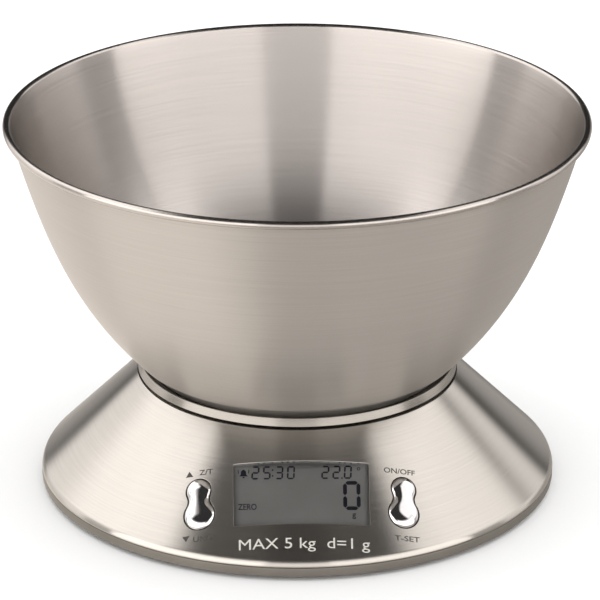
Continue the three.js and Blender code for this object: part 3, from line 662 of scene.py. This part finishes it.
def build_cover():
    """The cover as one closed sheet: its vertices, faces and the normals of its outer skin."""
    vertices, faces, normals = [], [], {}

    def add(point, normal=None):
        vertices.append(tuple(point))
        if normal is not None:
            normals[len(vertices) - 1] = normal
        return len(vertices) - 1

    def ring(radius, height, lean=None):
        """A full ring of vertices; lean is the outer normal's angle above the horizontal."""
        made = []
        for i in range(columns):
            azimuth = 2 * math.pi * i / columns
            across = Vector((math.sin(azimuth), -math.cos(azimuth), 0.0))
            normal = None
            if lean is not None:
                normal = across * math.cos(lean) + Vector((0, 0, math.sin(lean)))
            made.append(add(across * radius + Vector((0, 0, height)), normal))
        return made

    lip = cover_low.z
    outer = [ring(base_radius - skin * 0.3, lip), ring(base_radius, lip + 0.25, 0.0)]
    for step in range(7):
        lean = math.pi / 4 * step / 6
        radius = shoulder_radius + shoulder * math.cos(lean)
        height = hem_top + shoulder * math.sin(lean)
        if height > lip + 0.3:
            outer.append(ring(radius, height, lean))
    cone_rings = [outer[-1]] + [ring(r, cone_sum - r, math.pi / 4) for r in row_radii[1:]]
    for low, high in zip(outer, outer[1:]):
        faces.extend(band(low, high))

    bend_radius = cone_sum - cone_top - top_bend * math.tan(math.pi / 8)
    top_rings = [cone_rings[-1]]
    for step in range(1, 6):
        lean = math.pi / 4 + math.pi / 4 * step / 5
        radius = bend_radius + top_bend * math.cos(lean)
        top_rings.append(ring(radius, cone_top - top_bend + top_bend * math.sin(lean), lean))
    top_rings.append(ring(flange_radius + 0.3, cone_top, math.pi / 2))
    top_rings.append(ring(flange_radius, cone_top - 0.3))
    under = cone_top - skin
    top_rings.append(ring(flange_radius, under))
    for low, high in zip(top_rings, top_rings[1:]):
        faces.extend(band(low, high))

    inner_top = cone_sum - skin * math.sqrt(2) - under
    inner_low = shoulder_radius + (shoulder - skin) * slope
    inner_edge = ring(inner_top, under)
    inner_cone = []
    for j in range(rows + 1):
        radius = inner_top + (inner_low - inner_top) * (j + 0.5) / (rows + 1)
        inner_cone.append(ring(radius, cone_sum - skin * math.sqrt(2) - radius))
    faces.extend(band(top_rings[-1], inner_edge) + band(inner_edge, inner_cone[0]))
    last = inner_cone[-1]
    for step in range(5, -1, -1):
        lean = math.pi / 4 * step / 6
        height = max(lip, hem_top + (shoulder - skin) * math.sin(lean))
        following = ring(shoulder_radius + (shoulder - skin) * math.cos(lean), height)
        faces.extend(band(last, following))
        last = following
    faces.extend(band(last, outer[0]))

    def fill_cone(rings, outward):
        """Fills one skin with quads, and its front patch with triangles round the openings."""
        first, final = -patch_columns, patch_columns
        for j in range(len(rings) - 1):
            in_rows = 0 < j < len(rings) - 2
            for i in range(columns):
                column = i if i <= columns // 2 else i - columns
                if in_rows and first <= column < final:
                    continue
                after = (i + 1) % columns
                faces.append((rings[j][i], rings[j][after], rings[j + 1][after], rings[j + 1][i]))
        flat, index = [], []
        middle_rows = range(2, len(rings) - 2)

        def unrolled(vertex):
            x, y, z = vertices[vertex]
            return Vector((math.atan2(x, -y) * unroll_radius, math.hypot(x, y) * math.sqrt(2)))

        def place(vertex):
            flat.append(unrolled(vertex))
            index.append(vertex)
            return len(flat) - 1

        low, high = (
            [place(ring[c % columns]) for c in range(first, final + 1)]
            for ring in (rings[1], rings[-2])
        )
        left, right = (
            [low[end], *(place(rings[j][c % columns]) for j in middle_rows), high[end]]
            for c, end in ((first, 0), (final, -1))
        )
        edges = []
        for line in (low, high, left, right):
            edges += list(zip(line, line[1:]))
        depth = 0.0 if outward else skin
        hole_rings = []
        hole_flats = []
        for slope_frame, outline in openings:
            grow = edge_roll if outward else 0.0
            loop = []
            for x, y in outline(grow):
                spot = slope_frame.on_skin(x, y, depth)
                normal = cone_normal(math.atan2(spot.x, -spot.y)) if outward else None
                loop.append(add(spot, normal))
            hole_rings.append(loop)
            placed = [place(v) for v in loop]
            hole_flats.append([tuple(flat[p]) for p in placed])
            edges += list(zip(placed, placed[1:] + placed[:1]))
        for j in middle_rows:
            for c in range(first + 1, final):
                vertex = rings[j][c % columns]
                spot = unrolled(vertex)
                near = any(
                    inside((spot.x + dx, spot.y + dy), hole)
                    for hole in hole_flats for dx in clearances for dy in clearances
                )
                if not near:
                    place(vertex)
        points, _, triangles, origins, _, _ = delaunay_2d_cdt(flat, edges, [], 0, 1e-5)
        sources = [origin[0] for origin in origins]
        for triangle in triangles:
            centre = sum((points[t] for t in triangle), Vector((0, 0))) / 3
            if any(inside(centre, hole) for hole in hole_flats):
                continue
            corners = [index[sources[t]] for t in triangle]
            a, b, c = (Vector(vertices[v]) for v in corners)
            facing = (b - a).cross(c - a).dot(cone_normal(math.atan2(a.x, -a.y)))
            if (facing > 0) != outward:
                corners.reverse()
            faces.append(tuple(corners))
        return hole_rings

    outer_holes = fill_cone(cone_rings, True)
    inner_holes = fill_cone(inner_cone, False)
    for (slope_frame, outline), top, bottom in zip(openings, outer_holes, inner_holes):
        loops = [top]
        for step in (1, 2, 3):
            turn = math.pi / 2 * step / 3
            grow = edge_roll * (1 - math.sin(turn))
            sink = edge_roll * (1 - math.cos(turn))
            loops.append([add(slope_frame.on_skin(x, y, sink)) for x, y in outline(grow)])
        loops.append(bottom)
        for high, low in zip(loops, loops[1:]):
            count = len(high)
            for i in range(count):
                after = (i + 1) % count
                faces.append((high[i], low[i], low[after], high[after]))
    return vertices, faces, normals


vertices, faces, skin_normals = build_cover()
cover = new_piece("steel_cover", vertices, faces, cover_steel, sharp=40.0)
corner_normals = []  # exact on the outer skin, so that nothing near an opening ripples
for face in cover.data.polygons:
    known = [skin_normals.get(v) for v in face.vertices]
    exact = all(n is not None for n in known)
    corner_normals += [tuple(n) if exact else (0.0, 0.0, 0.0) for n in known]
cover.data.normals_split_custom_set(corner_normals)
settle(cover, "base", "brushed_steel", "top_cover")


# ---- Display ----
# A reflective liquid-crystal panel lies flat behind the window, and a clear moulded plug that
# follows the cone fills the opening. The digits are thin dark segments on the panel's grey glass.
lcd_depth = 4.9
lcd_finish, lcd_shader, lcd_place = new_finish("lcd_ground", Roughness=0.3, Coat_Weight=0.25)
lcd_cloud = lcd_place.noise(60.0, 2.0)
lcd_dots = lcd_place.noise(5000.0, 1.0)
feed(lcd_shader, Base_Color=colour_ramp(
    0.7 * lcd_cloud + 0.3 * lcd_dots, (0.3, (0.190, 0.185, 0.174)), (0.7, (0.230, 0.225, 0.214)),
))
panel_half_x, panel_half_y, panel_thickness = 25.5, 13.75, 2.2
corner_signs = ((-1, -1), (1, -1), (1, 1), (-1, 1))
panel_corners = [(sx * panel_half_x, sy * panel_half_y) for sx, sy in corner_signs]
levels = [(-lcd_depth - panel_thickness, 0.0), (-lcd_depth - 0.2, 0.0), (-lcd_depth, 0.2)]
vertices, faces = [], []
for level, chamfer in levels:
    for x, y in panel_corners:
        inward = 1 - chamfer / panel_half_y
        vertices.append(display_frame.at(x * inward, y * inward, level))
for storey in range(len(levels) - 1):
    faces += band(range(4 * storey, 4 * storey + 4), range(4 * storey + 4, 4 * storey + 8))
faces += [(3, 2, 1, 0), tuple(4 * (len(levels) - 1) + i for i in range(4))]
panel = new_piece("lcd_glass", vertices, faces, lcd_finish)
settle(panel, "base", "lcd_glass", "lcd_panel")

segment_finish, segment_shader, segment_place = new_finish("lcd_segment", Roughness=0.35)
segment_tone = segment_place.noise(900.0, 1.0)
feed(segment_shader, Base_Color=colour_ramp(
    segment_tone, (0.3, (0.004, 0.004, 0.014)), (0.7, (0.008, 0.008, 0.022)),
))
digit_segments = {"0": "abcdef", "2": "abged", "3": "abgcd", "5": "afgcd"}
segment_lines = {
    "a": ((0, 1), (1, 1)), "b": ((1, 1), (1, 0.5)), "c": ((1, 0.5), (1, 0)), "d": ((0, 0), (1, 0)),
    "e": ((0, 0.5), (0, 0)), "f": ((0, 1), (0, 0.5)), "g": ((0, 0.5), (1, 0.5)),
}
segment_lift = 0.03  # the printed segments stand this far proud of the glass
segments = {"vertices": [], "faces": []}


def lay_polygon(points):
    """Lays one thin closed tile on the panel."""
    start = len(segments["vertices"])
    low = range(start, start + len(points))
    high = range(low.stop, low.stop + len(points))
    for level in (-lcd_depth - 0.01, -lcd_depth + segment_lift):
        segments["vertices"] += [display_frame.at(x, y, level) for x, y in points]
    segments["faces"] += [tuple(high), tuple(reversed(low)), *band(low, high)]


def lay_bar(start, end, width):
    """One segment: a bar with pointed ends between two points."""
    a, b = Vector(start), Vector(end)
    along = (b - a).normalized()
    side = Vector((-along.y, along.x)) * width / 2
    tip = along * width / 2
    outline = [a, a + tip - side, b - tip - side, b, b - tip + side, a + tip + side]
    lay_polygon([tuple(p) for p in outline])


def lay_digit(digit, left, bottom, width, height, thickness, lean=0.06):
    """A seven-segment digit with a slight lean and small gaps between its segments."""
    inset = thickness / 2
    gap = 0.12 * thickness
    for letter in digit_segments[digit]:
        ends = []
        for u, v in segment_lines[letter]:
            x = left + inset + u * (width - 2 * inset)
            y = bottom + inset + v * (height - 2 * inset)
            ends.append(Vector((x + lean * (y - bottom), y)))
        along = (ends[1] - ends[0]).normalized() * gap
        lay_bar(ends[0] + along, ends[1] - along, thickness)


def lay_block(x, y, half_x, half_y):
    lay_polygon([(x + sx * half_x, y + sy * half_y) for sx, sy in corner_signs])


small_digit = {"bottom": 6.9, "width": 2.9, "height": 5.2, "thickness": 0.62}
dot = 0.275  # half its side
for digit, left in (("2", -18.4), ("5", -14.2), ("3", -9.6), ("0", -5.3)):  # the clock
    lay_digit(digit, left, **small_digit)
for y in (8.3, 10.6):
    lay_block(-10.45, y, dot, dot)
for digit, left in (("2", 7.4), ("2", 11.5), ("0", 15.7)):  # the room's temperature
    lay_digit(digit, left, **small_digit)
lay_block(15.1, 7.2, dot, dot)
degree_corner, degree_side = Vector((20.8, 10.3)), 0.95
for start, end in (((0, 0), (1, 0)), ((1, 0), (1, 1)), ((1, 1), (0, 1)), ((0, 1), (0, 0))):
    ends = (degree_corner + Vector(end_point) * degree_side for end_point in (start, end))
    lay_bar(*ends, 0.28)
lay_digit("0", 15.4, -5.4, 6.4, 11.4, 1.45, lean=0.0)  # the weight
bell_x, bell_y = -21.2, 9.4
bell = [(-1.6, -1.2), (1.6, -1.2), (1.0, -0.5), (0.9, 0.8), (0.0, 1.5), (-0.9, 0.8), (-1.0, -0.5)]
lay_polygon([(bell_x + x, bell_y + y) for x, y in bell])
lay_block(bell_x, bell_y - 1.65, 0.35, 0.25)  # its clapper
for side in (-1, 1):
    lay_bar((bell_x + side * 1.9, bell_y - 0.2), (bell_x + side * 2.0, bell_y + 1.4), 0.3)
lcd_digits = new_piece("lcd_digits", segments["vertices"], segments["faces"], segment_finish)
settle(lcd_digits, "base", "lcd_glass")


def letters(name, text, height, width, finish, put, weight=0.012, thickness=0.02):
    """Flat lettering of the given size, laid on a surface by put(x, y, z)."""
    curve = bpy.data.curves.new(name, "FONT")
    curve.body = text
    curve.extrude = 0.5
    curve.offset = weight
    curve.resolution_u = 4
    source = new_object(name + "_source", curve)
    mesh = applied(source)
    bpy.data.objects.remove(source)
    xs = [v.co.x for v in mesh.vertices]
    ys = [v.co.y for v in mesh.vertices]
    low = Vector((min(xs), min(ys)))
    size = Vector((max(xs), max(ys))) - low
    for vertex in mesh.vertices:
        x = ((vertex.co.x - low.x) / size.x - 0.5) * width
        y = ((vertex.co.y - low.y) / size.y - 0.5) * height
        vertex.co = MM * put(x, y, (vertex.co.z + 0.5) * thickness)
    mesh.materials.clear()
    mesh.materials.append(finish)
    return new_object(name, mesh)


def on_lcd(centre_x, centre_y):
    return lambda x, y, z: display_frame.at(centre_x + x, centre_y + y, z - lcd_depth)


for name, text, height, width, x, y in (
    ("lcd_word_zero", "ZERO", 2.4, 6.8, -19.9, -3.8), ("lcd_word_g", "g", 2.2, 1.4, 19.3, -7.8),
):
    settle(letters(name, text, height, width, segment_finish, on_lcd(x, y)), "base", "lcd_glass")

lens_finish, lens_shader, lens_place = new_finish("clear_acrylic", Metallic=1.0, Roughness=0.04)
lens_shader.inputs["Base Color"].default_value = (0.9, 0.92, 0.92, 1.0)
lens_gloss = lens_place.node("Fresnel", {}, {"IOR": 1.42})
feed(lens_shader, Alpha=lens_gloss + 0.015 * lens_place.noise(300.0, 2.0))
plug_shrink = -0.12
plug_top, plug_bottom = 0.12, 1.3  # depths under the cone's surface
rim = window_outline(plug_shrink)
vertices = [display_frame.on_skin(x, y, plug_top) for x, y in rim]
vertices += [display_frame.on_skin(x, y, plug_bottom) for x, y in rim]
count = len(rim)
faces = band(range(count, 2 * count), range(count))
half_x, half_y = window_width / 2 + plug_shrink, window_height / 2 + plug_shrink
lens_columns, lens_rows = 28, 8
for depth, outward in ((plug_top, True), (plug_bottom, False)):
    flat = [Vector(p) for p in rim]
    for i in range(1, lens_columns):
        for j in range(1, lens_rows):
            flat.append(Vector((
                -half_x + 2 * half_x * i / lens_columns,
                -half_y + 2 * half_y * j / lens_rows,
            )))
    loop_edges = [(i, (i + 1) % count) for i in range(count)]
    points, _, triangles, origins, _, _ = delaunay_2d_cdt(flat, loop_edges, [], 1, 1e-5)
    offset = len(vertices)
    lookup = {}
    for number, (point, origin) in enumerate(zip(points, origins)):
        if origin[0] < count:
            lookup[number] = origin[0] + (0 if outward else count)
        else:
            lookup[number] = len(vertices)
            vertices.append(display_frame.on_skin(point.x, point.y, depth))
    for triangle in triangles:
        corners = [lookup[t] for t in triangle]
        faces.append(tuple(corners if outward else reversed(corners)))
window = new_piece("window_plug", vertices, faces, lens_finish)
settle(window, "base", "clear_plastic", "display_window")


# ---- Rocker keys ----
# Two figure-of-eight keys of chrome-plated plastic. Each rocks on a pin under its waist, and its
# top is a smooth pillow that falls away to a rounded edge inside the opening.
def chrome_plate():
    """Mirror plating with the faintest orange peel and a few hairlines."""
    finish, shader, place = new_finish("chrome_plate", Metallic=1.0)
    peel = place.noise(420.0, 2.0)
    drawn = place.node("Mapping", {}, {"Vector": place, "Scale": (300.0, 5200.0, 900.0)})
    hair = drawn.noise(1.0, 1.0)
    feed(
        shader,
        Base_Color=colour_ramp(peel, (0.2, (0.80, 0.80, 0.81)), (0.8, (0.88, 0.88, 0.89))),
        Roughness=0.045 + 0.03 * hair,
        Normal=bump(peel, 0.05, MM * 0.03),
    )
    return finish


chrome = chrome_plate()
key_shoulder = -0.05  # where the key's straight side ends, from the cone's surface
key_crown = 1.4
key_side_bottom = -1.5


def build_key(slope_frame):
    """A key's closed mesh: rings that shrink from its outline onto the line between its lobes."""
    outline = key_outline()
    count = len(outline)
    vertices = [slope_frame.at(x, y, key_side_bottom) for x, y in outline]
    vertices += [slope_frame.at(x, y, key_shoulder) for x, y in outline]
    rings = 14
    for ring in range(rings + 1):
        share = 1.0 - math.sin(math.pi / 2 * ring / rings) ** 1.2
        height = key_shoulder + (key_crown - key_shoulder) * (1 - share**2.6) ** 0.55
        for x, y in outline:
            middle = min(max(y, key_lower_y), key_upper_y)
            vertices.append(slope_frame.at(x * share, middle + (y - middle) * share, height))
    faces = [tuple(range(count - 1, -1, -1))]
    for low in range(0, (rings + 2) * count, count):
        faces += band(range(low, low + count), range(low + count, low + 2 * count))
    return vertices, faces


def welded(piece, distance=MM * 0.002):
    """Joins the points of a piece that fall together."""
    modifier = piece.modifiers.new("weld", "WELD")
    modifier.merge_threshold = distance
    piece.data = applied(piece)
    piece.modifiers.clear()
    return piece


for side, slope_frame in key_frames.items():
    key = welded(new_piece(f"{side}_key_cap", *build_key(slope_frame), chrome, sharp=50.0))
    settle(key, f"{side}_key", "chrome", f"{side}_rocker")


# ---- Printed legends ----
# Screen-printed marks on the cover: grey captions and arrows beside the keys, and a pale line
# with the capacity below the display. The ink lies a few hundredths of a millimetre proud.
def ink(name, colour):
    finish, shader, place = new_finish(name, Roughness=0.5)
    speckle = place.noise(1800.0, 2.0)
    tone = colour_ramp(speckle, (0.3, shaded(colour, 0.8)), (0.7, colour))
    feed(shader, Base_Color=tone, Normal=bump(speckle, 0.2))
    return finish


grey_ink = ink("grey_ink", (0.060, 0.054, 0.048))
pale_ink = ink("pale_ink", (0.62, 0.60, 0.55))


def on_cover(centre_x, centre_y):
    return lambda x, y, z: display_frame.on_skin(centre_x + x, centre_y + y, -z - 0.004)


legends = (
    ("legend_zero_tare", "Z/T", 2.1, 5.0, -35.0, 10.5),
    ("legend_unit", "UNIT", 2.1, 7.8, -36.0, -15.9),
    ("legend_on_off", "ON/OFF", 2.1, 11.6, 36.4, 10.3),
    ("legend_set", "T-SET", 2.1, 9.3, 38.7, -16.4),
)
for name, text, height, width, x, y in legends:
    settle(letters(name, text, height, width, grey_ink, on_cover(x, y)), "base", "brushed_steel")
capacity = letters(
    "legend_capacity", "MAX 5 kg  d=1 g", 5.4, 48.0, pale_ink, on_cover(0.8, -20.4), weight=0.0,
)
settle(capacity, "base", "brushed_steel")
for name, x, y, up in (("arrow_up", -41.1, 10.4, 1), ("arrow_down", -42.6, -15.4, -1)):
    corners = [(-1.35, -up * 1.1), (1.35, -up * 1.1), (0.0, up * 1.2)]
    corners = corners if up > 0 else corners[::-1]
    put = on_cover(x, y)
    vertices = [put(a, b, 0.0) for a, b in corners] + [put(a, b, 0.02) for a, b in corners]
    faces = [(2, 1, 0), (3, 4, 5), (0, 1, 4, 3), (1, 2, 5, 4), (2, 0, 3, 5)]
    settle(new_piece(name, vertices, faces, grey_ink), "base", "brushed_steel")


# ---- Platform pan ----
# A shallow pressed dish of brushed stainless steel. Its rim rises at 45 degrees beside the bowl
# and turns down into a short flared lip, which hides the gap above the cover.
pan_low, pan_high = box_of("platform_pan")
sheet = 0.7
pan_floor = pan_low.z + 0.3 + sheet
lip_radius = pan_high.x
lip_top = pan_high.z - 0.3
lip_bottom = pan_low.z
lip_flare, lip_fold = 1.2, 0.55  # how far the lip slants outwards, and the width of its top
lip_outer = lip_radius - lip_flare
inner_top = lip_outer - lip_fold
floor_radius = inner_top - (lip_top - pan_floor)
pan_steel = circular_brush("brushed_pan", (0.44, 0.420, 0.385), 0.28, -1)
vertices, faces = revolve(rounded([
    (0, pan_floor - sheet, 0),
    (floor_radius + 0.25, pan_floor - sheet, 0.8),
    (lip_outer - 0.42, lip_top - 0.95, 0.12),
    (lip_radius - sheet * 0.75, lip_bottom, 0.1),
    (lip_radius, lip_bottom, 0.15),
    (lip_outer, lip_top, 0.28),
    (inner_top, lip_top, 0.22),
    (floor_radius, pan_floor, 1.2),
    (0, pan_floor, 0),
], steps=5))
pan = new_piece("platform_dish", vertices, faces, pan_steel)
settle(pan, "platform", "brushed_steel", "platform_pan")


# ---- Bowl ----
# A deep-drawn stainless bowl with a flat bottom, a short slanted foot that drops into the pan,
# and a rolled rim. It is brushed in circles inside and out, and just lifts off.
bowl_low, bowl_high = box_of("bowl")
bead = 1.5  # radius of the rolled rim
rim_radius, rim_top = bowl_high.x, bowl_high.z
bead_radius, bead_height = rim_radius - bead, rim_top - bead
foot_edge = 55.4  # radius of the flat bottom
heel = Vector((58.0, 49.8))
knuckle = Vector((61.3, 51.9))  # where the wall begins above the foot
wall_top = Vector((bead_radius - 1.05, bead_height - 0.95))
pull_low = knuckle + Vector((26.0, 26.0))
pull_high = wall_top - Vector((11.0, 38.0))


def wall_point(t, offset=0.0):
    """A point on the bowl's wall, which is one smooth curve, moved inwards by offset."""
    s = 1 - t
    spot = s**3 * knuckle + 3 * s * s * t * pull_low + 3 * s * t * t * pull_high + t**3 * wall_top
    run = s * s * (pull_low - knuckle) + 2 * s * t * (pull_high - pull_low)
    run += t * t * (wall_top - pull_high)
    run.normalize()
    return spot + offset * Vector((-run.y, run.x))


def build_bowl():
    """The bowl's outline, and for each of its stretches the number of the finish it takes."""
    steps, bead_steps = 44, 20
    bead_start, bead_turn = -120, 285  # degrees, from level
    start = 0.02
    outside = [wall_point(start + (1 - start) * i / steps) for i in range(steps + 1)]
    under = rounded([
        (0, bowl_low.z, 0), (foot_edge, bowl_low.z, 1.0), (*heel, 1.2),
        (knuckle.x, knuckle.y - 0.05, 0.3), (*outside[0], 0),
    ], steps=7)
    outline = under + [tuple(p) for p in outside[1:]]
    for step in range(1, bead_steps + 1):
        angle = math.radians(bead_start + bead_turn * step / bead_steps)
        outline.append((bead_radius + bead * math.cos(angle), bead_height + bead * math.sin(angle)))
    inner = [wall_point(1 - (1 - start) * i / steps, sheet) for i in range(1, steps + 1)]
    outline += [tuple(p) for p in inner]
    floor = bowl_low.z + sheet
    outline += rounded([
        (*inner[-1], 0), (heel.x - 0.3, heel.y + 0.7, 1.6),
        (foot_edge - 0.5, floor, 3.0), (0, floor, 0),
    ], steps=6)[1:]
    # Finish 2, the darker steel that paints the shade inside the pan, takes the whole underside and
    # foot.
    finishes = [2] * (len(under) - 2) + [0] * (steps + 1) + [3] * bead_steps
    return outline, finishes + [1] * (len(outline) - len(finishes))


bowl_turns = 320
outline, finish_numbers = build_bowl()
bowl_steels = [
    circular_brush("satin_outside", (0.60, 0.570, 0.530), 0.34, 1, metallic=0.90),
    circular_brush("brushed_inside", (0.62, 0.590, 0.565), 0.25, 1, grain=0.06),
    # The foot's steel is darker than the rest of the bowl: painted shade where the foot sinks into
    # the pan.
    circular_brush("foot_painted_shade", (0.50, 0.480, 0.450), 0.34, 1),
    circular_brush("polished_rim", (0.62, 0.590, 0.560), 0.20, 1, grain=0.08),
]
bowl = new_piece("mixing_bowl", *revolve(outline, bowl_turns), bowl_steels[0])
for extra in bowl_steels[1:]:
    bowl.data.materials.append(extra)
for face in bowl.data.polygons:
    face.material_index = finish_numbers[face.index // bowl_turns]
settle(bowl, "bowl", "brushed_steel", "bowl")


# ---- Studio ----
# A plain white table top under a soft studio. Gloss mirrors large panels all round, with dimmer
# gaps between them and dark space overhead; everything matt sees an even dome.
floor_finish, floor_shader, floor_place = new_finish("pale_floor", Roughness=0.9)
floor_tone = floor_place.noise(2.0, 2.0)
feed(floor_shader, Base_Color=colour_ramp(
    floor_tone, (0.2, (0.88, 0.88, 0.88)), (0.8, (0.90, 0.90, 0.90)),
))
reach = 9000.0
corners = [(-reach, -reach, 0), (reach, -reach, 0), (reach, reach, 0), (-reach, reach, 0)]
table = new_piece("floor", corners, [(0, 1, 2, 3)], floor_finish)
table.visible_glossy = False  # the steel mirrors the panels under the horizon instead

world = bpy.data.worlds.new("studio")
world.use_nodes = True
world.cycles.sampling_method = "NONE"
scene.world = world
sky = world.node_tree
sky.nodes.clear()
direction = Field(sky.nodes.new("ShaderNodeTexCoord").outputs["Generated"])
east, north, upward = (direction.node("SeparateXYZ", {}, {0: direction}, i) for i in range(3))
degrees = 180 / math.pi
bearing = east.maths("ARCTAN2", 0 - north) * degrees  # 0 in front of the display, + to the right
rise = upward.maths("ARCSINE") * degrees


def panel(first, last, bottom, top, brightness, soft=8.0, soft_rise=10.0):
    """A soft light between two bearings and two heights, in degrees."""
    return brightness * bearing.within(first, last, soft) * rise.within(bottom, top, soft_rise)


darkness = 0.035  # what still glows between the panels
panels = (
    (-88, -15.5, -12, 38, 1.96, 3),
    (13.5, 79, -12, 38, 1.68, 3),
    (-15.5, 13.5, -12, 32, 1.34, 3, 14),
    (-156, -90, 22, 62, 1.66),
    (-90, -73, 40, 62, 1.50),
    (-152, -122, 4, 22, 1.15),
    (-122, -106, -14, 22, 1.15),
    (-146, -122, -24, 4, 0.85),
    (-176, -146, -24, 0, 0.40),
    (-106, -88, -12, 22, 0.60),
    (80, 124, 22, 62, 1.42),
    (64, 80, 40, 62, 1.20),
    (118, 141, 4, 22, 1.08),
    (99, 118, -12, 22, 0.95),
    (118, 168, -24, 4, 0.42),
    (79, 99, -12, 22, 0.45),
)
glow = sum((panel(*row) for row in panels), darkness)
below = 1 - rise.step(-24, -8)  # 1 under the horizon, where the steel mirrors a pale table
under = 0.54 + 0.48 * (1 - bearing.step(-52, -16)) - 0.06 * bearing.step(5, 40)
glossy = direction.node("LightPath", {}, {}, "Is Glossy Ray")
bounces = direction.node("LightPath", {}, {}, "Ray Depth")
repeated = bounces.step(2.4, 2.6)  # 1 for light that two or more surfaces have mirrored
mirrored = (glow * (1 - below) + under * below) * (1 - 0.45 * repeated)
even = 1.50
strength = mirrored * glossy + even * (1 - glossy)
tint = colour_ramp(rise / 180 + 0.5, (0.40, (1.0, 0.92, 0.85)), (0.52, (1.0, 0.955, 0.93)))
white = tint.node("Mix", {"data_type": "RGBA"}, {0: glossy, 6: (1.0, 1.0, 1.0, 1.0), 7: tint}, 2)
shell = direction.node("Background", {}, {"Color": white, "Strength": strength})
output = sky.nodes.new("ShaderNodeOutputWorld")
sky.links.new(shell.socket, output.inputs["Surface"])

scene.view_settings.view_transform = "Standard"
